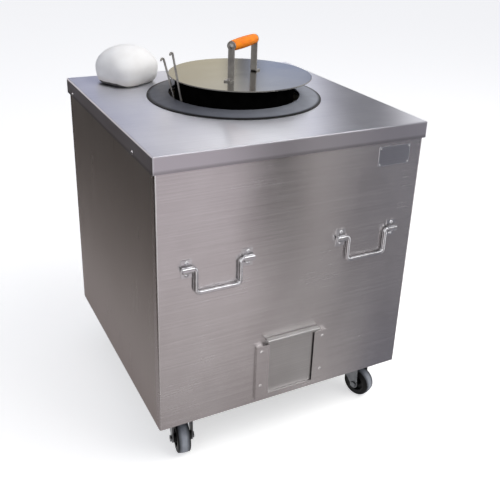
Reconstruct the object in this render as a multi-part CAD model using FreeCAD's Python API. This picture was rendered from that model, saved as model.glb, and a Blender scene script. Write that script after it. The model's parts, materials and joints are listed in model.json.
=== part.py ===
"""Charcoal naan tandoor: a clay pot in an insulated square steel casing on four casters.

Millimetres, +Z up. The origin is on the floor under the middle of the casing, X runs to the right
along the front and Y runs to the back. Each piece is one function, and each one is written as its
own STEP file.
"""
import FreeCAD, Part
import math
import os
from FreeCAD import Vector

# Casing
cap_width = 660.0
body_height = 655.0           # bottom edge of the panels to the top of the cap
sheet = 1.5
cap_skirt = 38.0
cap_edge_radius = 3.5
cap_overhang = 5.0            # skirt's outer face to a panel's outer face
panel_return = 20.0           # front and back panels fold round the corners
panel_bend_radius = 4.0
angle_leg = 25.0
angle_thickness = 4.0
top_angle_leg = 30.0
base_sheet = 3.0
cap_rivet_back_inset = 59.0   # skirt's rivets from the cap's back and front edges
cap_rivet_front_inset = 120.0
cap_rivet_drop = 30.0

# Clay pot and mouth
mouth_x = 11.0                # middle of the mouth, a little right of the middle of the cap
mouth_back = 304.0            # middle of the mouth from the cap's back edge
ring_outer_radius = 215.0
ring_inner_radius = 162.0
ring_outer_height = 3.0
ring_inner_height = 8.0
ring_edge_radius = 1.2
gap_width = 15.5              # open groove between the ring and the neck
gap_depth = 19.0              # below the top of the cap
band_thickness = 4.0
rim_height = 50.0             # pot's rim above the cap
pot_wall = 26.0
pot_floor = 22.0
pot_belly_radius = 270.0
pot_base_radius = 228.0
pot_belly_height = 235.0      # above the base plate
pot_neck_drop = 73.0          # foot of the straight neck, below the top of the cap
pit_wall = 38.0
ledge_height = 145.0          # above the base plate
grate_play = 8.0              # between the grate's edge and the pot's wall
grate_thickness = 8.0
grate_rim = 14.0              # unslotted edge that lies over the pit
grate_slot = 12.0
grate_pitch = 24.0

# Ash door
door_x = 5.0
door_opening = 104.0
door_opening_height = 110.0
tunnel_wall = 2.0
door_width = 140.0
door_sheet = 2.0
door_lap = 9.0                # door's edge behind a guide's lip
door_lip = 16.0               # top edge folded out as a grip, from the panel's face
door_hem = 6.5
door_bend_radius = 3.0
door_play = 0.3               # between the door's back and the panel
door_rise = 13.0              # folded edge above the tops of the guides
door_side_play = 0.5
guide_bar = 23.5              # solid part of a guide, beside the door
guide_depth = 6.0             # clear depth behind a guide's lip
guide_bottom = 12.0           # above the panels' bottom edge
guide_top = 161.0             # above the panels' bottom edge
guide_foot = 10.0             # height of the bar that the door rests on
door_rivet_heights = (49.5, 145.0)

# Rivets
rivet_shank_radius = 2.5
rivet_head_radius = 4.6
rivet_head_height = 2.4
rivet_tail_radius = 3.8
rivet_tail_height = 1.6

# Bail handles
bail_inset = 135.5            # bail's middle from the front panel's side
bail_axis_drop = 255.0        # below the top of the cap
bail_drop = 59.0
bail_leg_spacing = 103.0
bail_rod = 10.0
bail_corner_radius = 10.0
bail_elbow_radius = 6.0       # where a leg turns out into a saddle
bail_standoff = 6.5
bail_end_overhang = 1.5
saddle_spacing = 141.5
saddle_width = 24.0
saddle_height = 42.0
saddle_strap = 2.0
saddle_rivet_offset = 14.0
bail_play = 0.3

# Lid
lid_radius = 176.5
lid_thickness = 3.0
lid_edge_radius = 1.2
lid_x = 15.0                  # the lid lies a little off the mouth's middle
lid_seat_gap = 0.2
lid_handle_turn = 36.2        # degrees from X
lid_handle_x = -6.0           # handle's middle from the lid's middle
lid_handle_y = -25.0
lid_leg_spacing = 115.0       # between the legs' inner faces
lid_leg_width = 16.0
lid_leg_thickness = 3.5
lid_leg_bend_radius = 5.0
lid_foot = 17.0
lid_grip_height = 81.0        # grip's axis above the lid
lid_eye_radius = 11.0
lid_grip_radius = 13.5
lid_grip_end_radius = 12.0
lid_grip_edge = 2.0
lid_rod_radius = 4.0
lid_rod_head_radius = 6.5
lid_rod_head = 3.0

# Skewers that stand in the groove
skewer_radius = 2.5
skewer_angles = (180.2, 193.4)
skewer_lengths = (95.0, 115.0)   # from the ring's top to the curl
skewer_lid_gaps = (7.0, 4.0)
skewer_curl_radius = 3.2
skewer_curl_turn = 200.0
skewer_ring_gap = 0.5
skewer_floor_gap = 0.5

# Pad for laying the bread
pad_x = -197.0
pad_back = 98.0               # pad's middle from the cap's back edge
pad_turn = 26.0
pad_length = 162.0
pad_depth = 154.0
pad_height = 98.5
pad_base_length = 128.0
pad_widest_height = 50.0
pad_seat_gap = 0.3

# Casters
caster_height = 118.0
caster_inset = 81.0           # swivel axis from the cap's sides
caster_headings = {"front_left": -10.0, "front_right": 21.0, "back_left": -9.0, "back_right": 6.0}
caster_trail = 28.0
caster_plate_width = 80.0
caster_plate_thickness = 4.0
caster_plate_corner = 8.0
caster_bolt_spacing = 60.0
caster_bolt_radius = 4.0
caster_bolt_head = 5.0
caster_bolt_flats = 13.0
race_radius = 26.0
upper_race = 6.0
lower_race = 3.7
race_gap = 0.3
fork_sheet = 3.0
fork_width = 50.0
fork_front = 36.0
fork_back = 26.0
fork_shoulder = 10.0
fork_boss_radius = 11.0
king_pin_radius = 6.0
king_pin_head_radius = 10.0
king_pin_head = 4.0
wheel_radius = 38.0
wheel_width = 31.0
tyre_thickness = 12.0
tyre_shoulder = 4.0
tyre_crown = 1.2
hub_boss_radius = 11.0
hub_side_play = 0.3           # between the hub's boss and a fork leg
hub_web = 14.0
hub_rim = 4.0
axle_radius = 5.0
axle_head = 4.0
axle_flats = 14.0
running_fit = 0.05            # radial, between a pin and what turns on it
bolt_fit = 0.1
pot_fit = 0.5                 # between the pot and what lies round it

# Heights and half widths that follow from the sizes above
panel_bottom = caster_height
top_z = panel_bottom + body_height
cap_under = top_z - sheet
cap_half = cap_width / 2
mouth_y = cap_half - mouth_back
pad_y = cap_half - pad_back
panel_half = cap_half - cap_overhang
inside_half = panel_half - sheet
fill_half = inside_half - angle_thickness
base_top = panel_bottom + angle_thickness + base_sheet
ring_top = top_z + ring_inner_height
rim_z = top_z + rim_height
gap_floor = top_z - gap_depth
band_outer = ring_inner_radius - gap_width
band_inner = band_outer - band_thickness
neck_radius = band_inner - pot_fit
belly_z = base_top + pot_belly_height
neck_z = top_z - pot_neck_drop
floor_z = base_top + pot_floor
pit_radius = pot_base_radius - pit_wall
ledge_z = base_top + ledge_height
opening_z = floor_z + tunnel_wall
lid_z = rim_z + lid_seat_gap
lid_top = lid_z + lid_thickness
bail_centre = panel_half - bail_inset
bail_axis_z = top_z - bail_axis_drop
saddle_inner = bail_rod / 2 + bail_play
caster_half = cap_half - caster_inset
fork_top = caster_height - caster_plate_thickness - upper_race - race_gap - lower_race
TINY = 0.01
FAR = 2 * cap_width
UP = Vector(0, 0, 1)
FRONT = Vector(0, -1, 0)
RIGHT = Vector(1, 0, 0)


def in_xy(x, y):
    return Vector(x, y, 0)


def in_xz(x, z):
    return Vector(x, 0, z)


def in_yz(y, z):
    return Vector(0, y, z)


def out_of_front(out, z):
    """Point in the YZ plane at a distance out of the front panel's face."""
    return Vector(0, -panel_half - out, z)


def block(x, y, z):
    """Box between pairs of limits along each axis."""
    corner = Vector(x[0], y[0], z[0])
    return Part.makeBox(x[1] - x[0], y[1] - y[0], z[1] - z[0], corner)


def square_block(half, z):
    """Box of a square plan about the origin."""
    return block((-half, half), (-half, half), z)


def disc(radius, z, x=0.0, y=0.0):
    """Upright cylinder between a pair of heights."""
    return Part.makeCylinder(radius, z[1] - z[0], Vector(x, y, z[0]))


def path(place, start, *legs):
    """Edges from start; a leg is an end point, or the middle and the end point of an arc."""
    edges = []
    here = start
    for leg in legs:
        if isinstance(leg[0], tuple):
            middle, end = leg
            edges.append(Part.Arc(place(*here), place(*middle), place(*end)).toShape())
        else:
            end = leg
            edges.append(Part.makeLine(place(*here), place(*end)))
        here = end
    return edges


def outline(place, start, *legs):
    """Closed face round the path, which ends with a straight line to its start."""
    return Part.Face(Part.Wire(path(place, start, *legs, start)))


def turned(start, *legs):
    """Solid of revolution about Z from an outline in radius and height."""
    return outline(in_xz, start, *legs).revolve(Vector(0, 0, 0), UP, 360)


def on_circle(centre, radius, degrees):
    """Point of a circle, as a pair."""
    angle = math.radians(degrees)
    return (centre[0] + radius * math.cos(angle), centre[1] + radius * math.sin(angle))


def rounded(solid, radius, *tests):
    """Fillet the edges that pass any of the tests."""
    edges = [edge for edge in solid.Edges if any(test(edge.BoundBox) for test in tests)]
    return solid.makeFillet(radius, edges)


def upright(bounds):
    return bounds.ZLength > bounds.XLength + bounds.YLength


def level_at(z):
    """Test for edges that lie at one height."""
    return lambda bounds: abs(bounds.ZMin - z) < TINY and abs(bounds.ZMax - z) < TINY


def cut_all(solid, tools):
    for tool in tools:
        solid = solid.cut(tool)
    return solid


def placed(solid, position, normal=UP):
    """Copy with its own Z along the normal and its origin at the position."""
    copy = solid.copy()
    copy.Placement = FreeCAD.Placement(position, FreeCAD.Rotation(UP, normal)) * copy.Placement
    return copy


def shifted(solid, x=0.0, y=0.0, z=0.0):
    return placed(solid, Vector(x, y, z))


def at_mouth(solid):
    """Move a piece that is made about Z to the mouth's axis."""
    return shifted(solid, mouth_x, mouth_y)


def swivelled(solid, degrees, position):
    """Copy turned about Z and then moved."""
    copy = solid.copy()
    copy.Placement = FreeCAD.Placement(position, FreeCAD.Rotation(UP, degrees)) * copy.Placement
    return copy


def hexagon(flats, height):
    """Six-sided prism that stands on the XY plane."""
    corners = [on_circle((0, 0), flats / math.sqrt(3), 60 * i) for i in range(7)]
    face = Part.Face(Part.makePolygon([in_xy(*corner) for corner in corners]))
    return face.extrude(UP * height)


def dome_middle(radius, height):
    """Point half way along the arc from a dome's edge to its top."""
    sphere = (radius ** 2 + height ** 2) / (2 * height)
    half_angle = math.asin(radius / sphere) / 2
    return (sphere * math.sin(half_angle), height - sphere * (1 - math.cos(half_angle)))


def rivet(grip, tail=True):
    """Dome-head rivet along Z with the seat of its head at the origin."""
    back = -grip - rivet_tail_height if tail else -grip
    shank = [(rivet_shank_radius, back), (rivet_shank_radius, 0.0)]
    if tail:
        shank = [(rivet_tail_radius, back), (rivet_tail_radius, -grip), (rivet_shank_radius, -grip),
                 (rivet_shank_radius, 0.0)]
    dome = (dome_middle(rivet_head_radius, rivet_head_height), (0.0, rivet_head_height))
    return turned((0.0, back), *shank, (rivet_head_radius, 0.0), dome)


def hole(position, normal):
    """Rivet hole through what lies at the position."""
    reach = cap_overhang + guide_depth + 3 * sheet
    drill = Part.makeCylinder(rivet_shank_radius, 2 * reach, Vector(0, 0, -reach))
    return placed(drill, position, normal)


def door_rivet_points():
    side = guide_outer() - guide_bar / 2
    return [Vector(door_x + sign * side, -panel_half, panel_bottom + height)
            for sign in (-1, 1) for height in door_rivet_heights]


def saddle_places():
    """Middle of each saddle along X, by its node's name."""
    half = saddle_spacing / 2
    return {"left_saddle_outer": -bail_centre - half, "left_saddle_inner": -bail_centre + half,
            "right_saddle_inner": bail_centre - half, "right_saddle_outer": bail_centre + half}


def handle_rivet_points():
    return [Vector(x, -panel_half, bail_axis_z + sign * saddle_rivet_offset)
            for x in saddle_places().values() for sign in (-1, 1)]


def cap_rivet_points():
    """Pairs of a point on the skirt's outer face and the direction out of it."""
    places = (cap_half - cap_rivet_back_inset, cap_rivet_front_inset - cap_half)
    return [(Vector(sign * cap_half, y, top_z - cap_rivet_drop), Vector(sign, 0, 0))
            for sign in (-1, 1) for y in places]


def top_cap():
    """Folded cap: top with the mouth's hole, skirt, and a return under the skirt to the panels."""
    skirt_bottom = top_z - cap_skirt
    outer = rounded(square_block(cap_half, (skirt_bottom, top_z)), cap_edge_radius, upright, level_at(top_z))
    inner = square_block(cap_half - sheet, (skirt_bottom + sheet, cap_under))
    inner = rounded(inner, cap_edge_radius - sheet, upright, level_at(cap_under))
    window = square_block(panel_half, (skirt_bottom - sheet, skirt_bottom + 2 * sheet))
    mouth = disc(ring_inner_radius, (cap_under - sheet, top_z + sheet), mouth_x, mouth_y)
    return cut_all(outer, [inner, window, mouth] + [hole(*place) for place in cap_rivet_points()])


def casing_inside(z):
    """Form of the space inside the panels and their bends, between a pair of heights."""
    return rounded(square_block(inside_half, z), panel_bend_radius - sheet, upright)


def wrapped_panel():
    """Front panel without openings: a sheet whose sides fold round the corners."""
    height = (panel_bottom, cap_under)
    bend_line = -panel_half + panel_return
    outer = rounded(square_block(panel_half, height), panel_bend_radius, upright)
    front = block((-panel_half, panel_half), (-panel_half, bend_line), height)
    return outer.cut(casing_inside(height)).common(front)


def front_panel():
    opening = block((door_x - door_opening / 2, door_x + door_opening / 2),
                    (-panel_half - sheet, -inside_half + sheet),
                    (opening_z, opening_z + door_opening_height))
    holes = [hole(point, FRONT) for point in door_rivet_points() + handle_rivet_points()]
    return cut_all(wrapped_panel(), [opening] + holes)


def back_panel():
    return wrapped_panel().mirror(Vector(0, 0, 0), FRONT)


def side_panel(sign):
    """Flat side sheet between the folded edges of the front and back panels."""
    reach = panel_half - panel_return
    x = sorted((sign * panel_half, sign * inside_half))
    panel = block(x, (-reach, reach), (panel_bottom, cap_under))
    return cut_all(panel, [hole(point, normal) for point, normal in cap_rivet_points() if normal.x == sign])


def corner_points(half):
    """Corners of a square about the origin, by name."""
    return {"front_left": (-half, -half), "front_right": (half, -half),
            "back_left": (-half, half), "back_right": (half, half)}


def caster_bolt_points():
    reach = caster_bolt_spacing / 2
    return [(x + i * reach, y + j * reach) for x, y in corner_points(caster_half).values()
            for i in (-1, 1) for j in (-1, 1)]


def base_frame():
    """Welded angle frame, notched for the ash tunnel, with a flat gusset in each corner for a caster."""
    height = (panel_bottom, panel_bottom + angle_leg)
    flat = (panel_bottom, panel_bottom + angle_thickness)
    window_half = inside_half - angle_leg
    frame = casing_inside(height).cut(square_block(fill_half, (flat[1], height[1])))
    frame = frame.cut(square_block(window_half, flat))
    gusset_inner = caster_half - caster_plate_width / 2
    for x, y in corner_points(1).values():
        limits = [sorted((s * gusset_inner, s * window_half)) for s in (x, y)]
        frame = frame.fuse(block(*limits, flat))
    bolts = [disc(caster_bolt_radius + bolt_fit, flat, x, y) for x, y in caster_bolt_points()]
    return cut_all(frame.removeSplitter(), bolts + [tunnel_block(tunnel_wall)])


def base_plate():
    return square_block(fill_half, (base_top - base_sheet, base_top))


def corner_posts():
    """Four angle posts between the base frame and the top frame."""
    posts = []
    height = (panel_bottom + angle_leg, cap_under - top_angle_leg)
    for x, y in corner_points(1).values():
        legs = [sorted((s * inside_half, s * (inside_half - top_angle_leg))) for s in (x, y)]
        hollow = [sorted((s * fill_half, s * (fill_half - top_angle_leg))) for s in (x, y)]
        posts.append(block(*legs, height).cut(block(*hollow, height)).common(casing_inside(height)))
    return Part.makeCompound(posts)


def top_frame():
    """Angle frame under the cap."""
    frame = casing_inside((cap_under - top_angle_leg, cap_under))
    hollow = square_block(fill_half, (cap_under - top_angle_leg, cap_under - angle_thickness))
    window = square_block(inside_half - top_angle_leg, (cap_under - angle_thickness, cap_under))
    return cut_all(frame, [hollow, window])


def bulge_radius(rise, reach):
    """Radius of an arc that starts upright and moves in by rise over the height reach."""
    return (rise * rise + reach * reach) / (2 * rise)


def pot_radius(z):
    """Outer radius of the pot at a height: two arcs that meet upright at the belly, and a neck."""
    if z >= neck_z:
        return neck_radius
    upper = z > belly_z
    rise = pot_belly_radius - (neck_radius if upper else pot_base_radius)
    reach = (neck_z if upper else base_top) - belly_z
    radius = bulge_radius(rise, reach)
    return pot_belly_radius - radius + math.sqrt(radius ** 2 - (z - belly_z) ** 2)


def pot_arc(z0, z1, inset):
    """Arc of the pot's side between two heights, moved in by inset."""
    middle = (z0 + z1) / 2
    return ((pot_radius(middle) - inset, middle), (pot_radius(z1) - inset, z1))


def pot_outside(extra):
    """Solid form of the pot's outside, larger by extra."""
    return turned((0.0, base_top), (pot_base_radius + extra, base_top), pot_arc(base_top, belly_z, -extra),
                  pot_arc(belly_z, neck_z - TINY, -extra), (neck_radius + extra, neck_z),
                  (neck_radius + extra, rim_z), (0.0, rim_z))


def pot_hollow():
    """Inside of the pot: a pit, a ledge for the grate, the belly and the neck."""
    bore = neck_radius - pot_wall
    return turned((0.0, floor_z), (pit_radius, floor_z), (pit_radius, ledge_z),
                  (pot_radius(ledge_z) - pot_wall, ledge_z), pot_arc(ledge_z, belly_z, pot_wall),
                  pot_arc(belly_z, neck_z - TINY, pot_wall), (bore, neck_z), (bore, rim_z), (0.0, rim_z))


def tunnel_block(extra):
    """Form of the passage from the front panel to the pit, larger by extra on each side."""
    half = door_opening / 2 + extra
    return block((door_x - half, door_x + half), (-inside_half, mouth_y),
                 (opening_z - extra, opening_z + door_opening_height + extra))


def clay_pot():
    pot = pot_outside(0.0).cut(pot_hollow())
    return at_mouth(pot).cut(tunnel_block(tunnel_wall))


def ash_tunnel():
    """Sheet tube from the front panel through the pot's wall."""
    tube = tunnel_block(tunnel_wall).cut(tunnel_block(0.0))
    return tube.cut(disc(pit_radius, (base_top, ledge_z), mouth_x, mouth_y))


def insulation():
    """Fill between the pot and the casing, with a groove round the neck."""
    top = cap_under - angle_thickness
    fill = square_block(fill_half, (base_top, top))
    groove = disc(ring_inner_radius, (gap_floor, top), mouth_x, mouth_y)
    return cut_all(fill, [at_mouth(pot_outside(pot_fit)), tunnel_block(tunnel_wall), groove])


def fire_grate():
    """Round cast grate on the pot's ledge, with straight slots across its field."""
    grate_radius = pot_radius(ledge_z) - pot_wall - grate_play
    grate = disc(grate_radius, (ledge_z, ledge_z + grate_thickness))
    field_radius = pit_radius - grate_rim
    count = int(field_radius / grate_pitch)
    slots = []
    for i in range(-count, count + 1):
        y = i * grate_pitch
        half = math.sqrt(field_radius ** 2 - y ** 2)
        slots.append(block((-half, half), (y - grate_slot / 2, y + grate_slot / 2),
                           (ledge_z, ledge_z + grate_thickness)))
    return at_mouth(cut_all(grate, slots))


def mouth_ring():
    """Flat cast ring on the cap, a little higher at its inner edge."""
    edge = ring_edge_radius
    corner = (ring_outer_radius - edge, top_z + ring_outer_height - edge)
    ring = turned((ring_inner_radius, top_z), (ring_outer_radius, top_z), (ring_outer_radius, corner[1]),
                  (on_circle(corner, edge, 45), (corner[0], corner[1] + edge)),
                  (ring_inner_radius, ring_top))
    return at_mouth(ring)


def mouth_band():
    """Iron band round the pot's neck."""
    band = turned((band_inner, gap_floor), (band_outer, gap_floor), (band_outer, rim_z), (band_inner, rim_z))
    return at_mouth(band)


def guide_outer():
    """Distance from the door's middle to the outer face of a guide."""
    return door_width / 2 + door_side_play + guide_bar


def door_guides():
    """Two rebated upright bars and a bar that the door rests on, welded into a U and riveted to the panel."""
    web = door_width / 2 + door_side_play
    lip_end = door_width / 2 - door_lap
    outer = guide_outer()
    face = guide_depth + sheet
    low = panel_bottom + guide_bottom
    height = guide_top - guide_bottom

    def plan(x, out):
        return Vector(door_x + x, -panel_half - out, low)

    bars = [outline(plan, (s * outer, 0.0), (s * outer, face), (s * lip_end, face), (s * lip_end, guide_depth),
                    (s * web, guide_depth), (s * web, 0.0)).extrude(UP * height) for s in (-1, 1)]
    foot = block((door_x - outer, door_x + outer), (-panel_half - face, -panel_half), (low, low + guide_foot))
    guides = foot.fuse(bars).removeSplitter()
    return cut_all(guides, [hole(point, FRONT) for point in door_rivet_points()])


def door_bottom():
    return panel_bottom + guide_bottom + guide_foot + door_side_play


def ash_door():
    """Plate that slides up in its guides, with its top edge folded out and hemmed as a grip."""
    back = door_play
    face = back + door_sheet
    under = panel_bottom + guide_top + door_rise
    top = under + door_sheet
    bend = door_bend_radius
    inner = bend - door_sheet
    tip = door_lip
    section = outline(
        out_of_front, (back, door_bottom()), (face, door_bottom()), (face, under - inner),
        (on_circle((face + inner, under - inner), inner, 135), (face + inner, under)),
        (tip - bend, under),
        (on_circle((tip - bend, under - inner), inner, 45), (tip - door_sheet, under - inner)),
        (tip - door_sheet, top - door_hem), (tip, top - door_hem), (tip, top - bend),
        (on_circle((tip - bend, top - bend), bend, 45), (tip - bend, top)),
        (back + bend, top),
        (on_circle((back + bend, top - bend), bend, 135), (back, top - bend)))
    door = section.extrude(Vector(door_width, 0, 0))
    return shifted(door, x=door_x - door_width / 2)


def door_rivets():
    """Rivets through the guides and the front panel."""
    face = guide_depth + sheet
    body = rivet(face + sheet)
    return Part.makeCompound([placed(body, point + FRONT * face, FRONT) for point in door_rivet_points()])


def handle_rivets():
    """Rivets through the saddles' tabs."""
    seat = FRONT * saddle_strap
    return Part.makeCompound([placed(rivet(saddle_strap + sheet), point + seat, FRONT)
                              for point in handle_rivet_points()])


def cap_rivets():
    """Rivets through the skirt into the side panels."""
    body = rivet(cap_overhang + sheet, tail=False)
    return Part.makeCompound([placed(body, *place) for place in cap_rivet_points()])


def saddle(x):
    """Strap bent over the end of a bail, with a tab above and a tab below."""
    tab = saddle_height / 2
    outer = saddle_inner + saddle_strap
    reach = bail_standoff
    section = outline(
        out_of_front, (0.0, tab), (saddle_strap, tab), (saddle_strap, outer), (reach, outer),
        ((reach + outer, 0.0), (reach, -outer)), (saddle_strap, -outer), (saddle_strap, -tab), (0.0, -tab),
        (0.0, -saddle_inner), (reach, -saddle_inner), ((reach + saddle_inner, 0.0), (reach, saddle_inner)),
        (0.0, saddle_inner))
    strap = shifted(section.extrude(Vector(saddle_width, 0, 0)), x - saddle_width / 2, z=bail_axis_z)
    points = [point for point in handle_rivet_points() if abs(point.x - x) < TINY]
    return cut_all(strap, [hole(point, FRONT) for point in points])


def swept(edges, radius):
    """Round rod along a path of straight runs and arcs."""
    spine = Part.Wire(edges)
    start = spine.Edges[0].valueAt(spine.Edges[0].FirstParameter)
    along = spine.Edges[0].tangentAt(spine.Edges[0].FirstParameter)
    section = Part.Wire(Part.makeCircle(radius, start, along))
    return spine.makePipeShell([section], True, False)


def bail(x):
    """U-shaped rod whose ends turn out into the saddles; it hangs from its ends."""
    end = saddle_spacing / 2 + saddle_width / 2 + bail_end_overhang
    leg = bail_leg_spacing / 2
    r = bail_corner_radius
    e = bail_elbow_radius
    low = -bail_drop
    edges = path(
        in_xz, (-end, 0.0), (-leg - e, 0.0), (on_circle((-leg - e, -e), e, 45), (-leg, -e)),
        (-leg, low + r), (on_circle((-leg + r, low + r), r, 225), (-leg + r, low)),
        (leg - r, low), (on_circle((leg - r, low + r), r, 315), (leg, low + r)),
        (leg, -e), (on_circle((leg + e, -e), e, 135), (leg + e, 0.0)), (end, 0.0))
    return shifted(swept(edges, bail_rod / 2), x, -panel_half - bail_standoff, bail_axis_z)


def on_lid(solid):
    """Place a piece of the lid's handle, which is made along X about the handle's middle."""
    return swivelled(solid, lid_handle_turn, Vector(mouth_x + lid_x + lid_handle_x, mouth_y + lid_handle_y, lid_top))


def lid_rivet_reach():
    """Distance of the lid's rivets from the handle's middle."""
    return lid_leg_spacing / 2 + lid_leg_bend_radius + lid_foot / 2


def lid_disc():
    """Plain round plate with two rivet holes."""
    plate = Part.makeCylinder(lid_radius, lid_thickness, Vector(mouth_x + lid_x, mouth_y, lid_z))
    plate = plate.makeFillet(lid_edge_radius, [edge for edge in plate.Edges if edge.Closed])
    drill = Part.makeCylinder(rivet_shank_radius, 2 * lid_thickness, Vector(0, 0, -1.5 * lid_thickness))
    return cut_all(plate, [on_lid(shifted(drill, s * lid_rivet_reach())) for s in (-1, 1)])


def lid_leg(sign):
    """Flat bar with its foot bent out and a round eye at its top."""
    near = lid_leg_spacing / 2
    t = lid_leg_thickness
    bend = lid_leg_bend_radius
    inner = bend - t
    centre = (near + bend, bend)
    end = near + bend + lid_foot
    section = outline(
        in_xz, (near, lid_grip_height), (near, bend), (on_circle(centre, bend, 225), (near + bend, 0.0)),
        (end, 0.0), (end, t), (near + bend, t), (on_circle(centre, inner, 225), (near + t, bend)),
        (near + t, lid_grip_height))
    bar = section.extrude(Vector(0, lid_leg_width, 0))
    bar = shifted(bar, y=-lid_leg_width / 2)
    axis = Vector(near, 0, lid_grip_height)
    leg = bar.fuse(Part.makeCylinder(lid_eye_radius, t, axis, RIGHT)).removeSplitter()
    drill = Part.makeCylinder(rivet_shank_radius, 2 * t, Vector(lid_rivet_reach(), 0, -t / 2))
    leg = cut_all(leg, [Part.makeCylinder(lid_rod_radius, t, axis, RIGHT), drill])
    return on_lid(leg if sign > 0 else swivelled(leg, 180, Vector(0, 0, 0)))


def lid_grip():
    """Barrel-shaped sleeve between the legs' eyes."""
    half = lid_leg_spacing / 2
    edge = lid_grip_edge
    end = lid_grip_end_radius
    section = outline(
        in_xz, (lid_rod_radius, -half), (end - edge, -half),
        (on_circle((end - edge, -half + edge), edge, -45), (end, -half + edge)),
        ((lid_grip_radius, 0.0), (end, half - edge)),
        (on_circle((end - edge, half - edge), edge, 45), (end - edge, half)), (lid_rod_radius, half))
    sleeve = section.revolve(Vector(0, 0, 0), UP, 360)
    return on_lid(placed(sleeve, Vector(0, 0, lid_grip_height), RIGHT))


def lid_grip_rod():
    """Rod through the grip and the legs, with a round head at each end."""
    seat = lid_leg_spacing / 2 + lid_leg_thickness
    tip = seat + lid_rod_head
    radius, height = dome_middle(lid_rod_head_radius, lid_rod_head)
    rod = turned((0.0, -tip), ((radius, -seat - height), (lid_rod_head_radius, -seat)),
                 (lid_rod_radius, -seat), (lid_rod_radius, seat), (lid_rod_head_radius, seat),
                 ((radius, seat + height), (0.0, tip)))
    return on_lid(placed(rod, Vector(0, 0, lid_grip_height), RIGHT))


def lid_rivets():
    """Rivets through the legs' feet and the lid."""
    body = rivet(lid_leg_thickness + lid_thickness)
    return Part.makeCompound([on_lid(shifted(body, s * lid_rivet_reach(), z=lid_leg_thickness))
                              for s in (-1, 1)])


def lid_edge_reach(degrees):
    """Distance from the mouth's middle to the lid's edge in a direction."""
    angle = math.radians(degrees)
    return lid_x * math.cos(angle) + math.sqrt(lid_radius ** 2 - (lid_x * math.sin(angle)) ** 2)


def skewer_lean(index):
    """Lean of a skewer from upright, in radians: it clears the ring's edge and the lid's edge."""
    at_ring = ring_inner_radius - skewer_radius - skewer_ring_gap
    at_lid = lid_edge_reach(skewer_angles[index]) + skewer_radius + skewer_lid_gaps[index]
    return math.atan2(at_lid - at_ring, lid_top - ring_top)


def skewer(index):
    """Rod that stands in the groove, leans out over the ring and ends in a curl."""
    lean = skewer_lean(index)
    at_ring = ring_inner_radius - skewer_radius - skewer_ring_gap
    at_band = band_outer + skewer_radius + skewer_ring_gap
    depth = min((at_ring - at_band) / math.tan(lean), ring_top - gap_floor - skewer_radius - skewer_floor_gap)
    below = -depth / math.cos(lean)
    top = skewer_lengths[index]
    r = skewer_curl_radius
    centre = (r, top)
    half_turn = skewer_curl_turn / 2
    edges = path(in_xz, (0.0, below), (0.0, top),
                 (on_circle(centre, r, 180 - half_turn / 2), on_circle(centre, r, 180 - half_turn)),
                 (on_circle(centre, r, 180 - half_turn * 1.5), on_circle(centre, r, 180 - skewer_curl_turn)))
    rod = swept(edges, skewer_radius)
    rod.rotate(Vector(0, 0, 0), Vector(0, 1, 0), math.degrees(lean))
    rod.translate(Vector(at_ring, 0, ring_top))
    rod.rotate(Vector(0, 0, 0), UP, skewer_angles[index])
    return at_mouth(rod)


def naan_pad():
    """Stuffed pad with a high crown and sides drawn in to a flat base."""
    half = pad_length / 2
    base = pad_base_length / 2
    side = bulge_radius(half - base, pad_widest_height)
    middle = pad_widest_height / 2
    side_middle = (half - side + math.sqrt(side ** 2 - middle ** 2), pad_widest_height - middle)
    crown = pad_height - pad_widest_height
    ellipse = Part.Ellipse(Vector(0, 0, pad_widest_height), max(half, crown), min(half, crown))
    ellipse.Axis = FRONT
    edges = path(in_xz, (0.0, 0.0), (base, 0.0), (side_middle, (half, pad_widest_height)))
    quarter = Part.ArcOfEllipse(ellipse, 0, math.pi / 2).toShape()
    closing = Part.makeLine(in_xz(0.0, pad_height), in_xz(0.0, 0.0))
    body = Part.Face(Part.Wire(edges + [quarter, closing])).revolve(Vector(0, 0, 0), UP, 360)
    squeeze = FreeCAD.Matrix()
    squeeze.scale(1.0, pad_depth / pad_length, 1.0)
    body = body.transformGeometry(squeeze)
    return swivelled(body, pad_turn, Vector(pad_x, pad_y, top_z + pad_seat_gap))


def caster_plate():
    """Top plate with the fixed half of the ball race."""
    plate_bottom = caster_height - caster_plate_thickness
    plate = square_block(caster_plate_width / 2, (plate_bottom, caster_height))
    plate = rounded(plate, caster_plate_corner, upright)
    plate = plate.fuse(disc(race_radius, (plate_bottom - upper_race, plate_bottom))).removeSplitter()
    reach = caster_bolt_spacing / 2
    drills = [disc(caster_bolt_radius + bolt_fit, (plate_bottom, caster_height), i * reach, j * reach)
              for i in (-1, 1) for j in (-1, 1)]
    pin = disc(king_pin_radius, (0.0, caster_height))
    return cut_all(plate, drills + [pin])


def caster_fork():
    """Pressed fork that carries the wheel behind the swivel axis, with the turning half of the race."""
    axle = (-caster_trail, wheel_radius)
    shoulder = fork_top - fork_shoulder
    section = outline(
        in_yz, (fork_back, fork_top), (fork_back, shoulder), (axle[0] + fork_boss_radius, axle[1]),
        ((axle[0], axle[1] - fork_boss_radius), (axle[0] - fork_boss_radius, axle[1])),
        (-fork_front, shoulder), (-fork_front, fork_top))
    body = shifted(section.extrude(Vector(fork_width, 0, 0)), -fork_width / 2)
    inner = fork_width / 2 - fork_sheet
    channel = block((-inner, inner), (-FAR, FAR), (0.0, fork_top - fork_sheet))
    body = body.cut(channel).fuse(disc(race_radius, (fork_top, fork_top + lower_race))).removeSplitter()
    pin = disc(king_pin_radius + running_fit, (0.0, caster_height))
    bore = Part.makeCylinder(axle_radius, fork_width, Vector(-fork_width / 2, *axle), RIGHT)
    return cut_all(body, [pin, bore])


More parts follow.
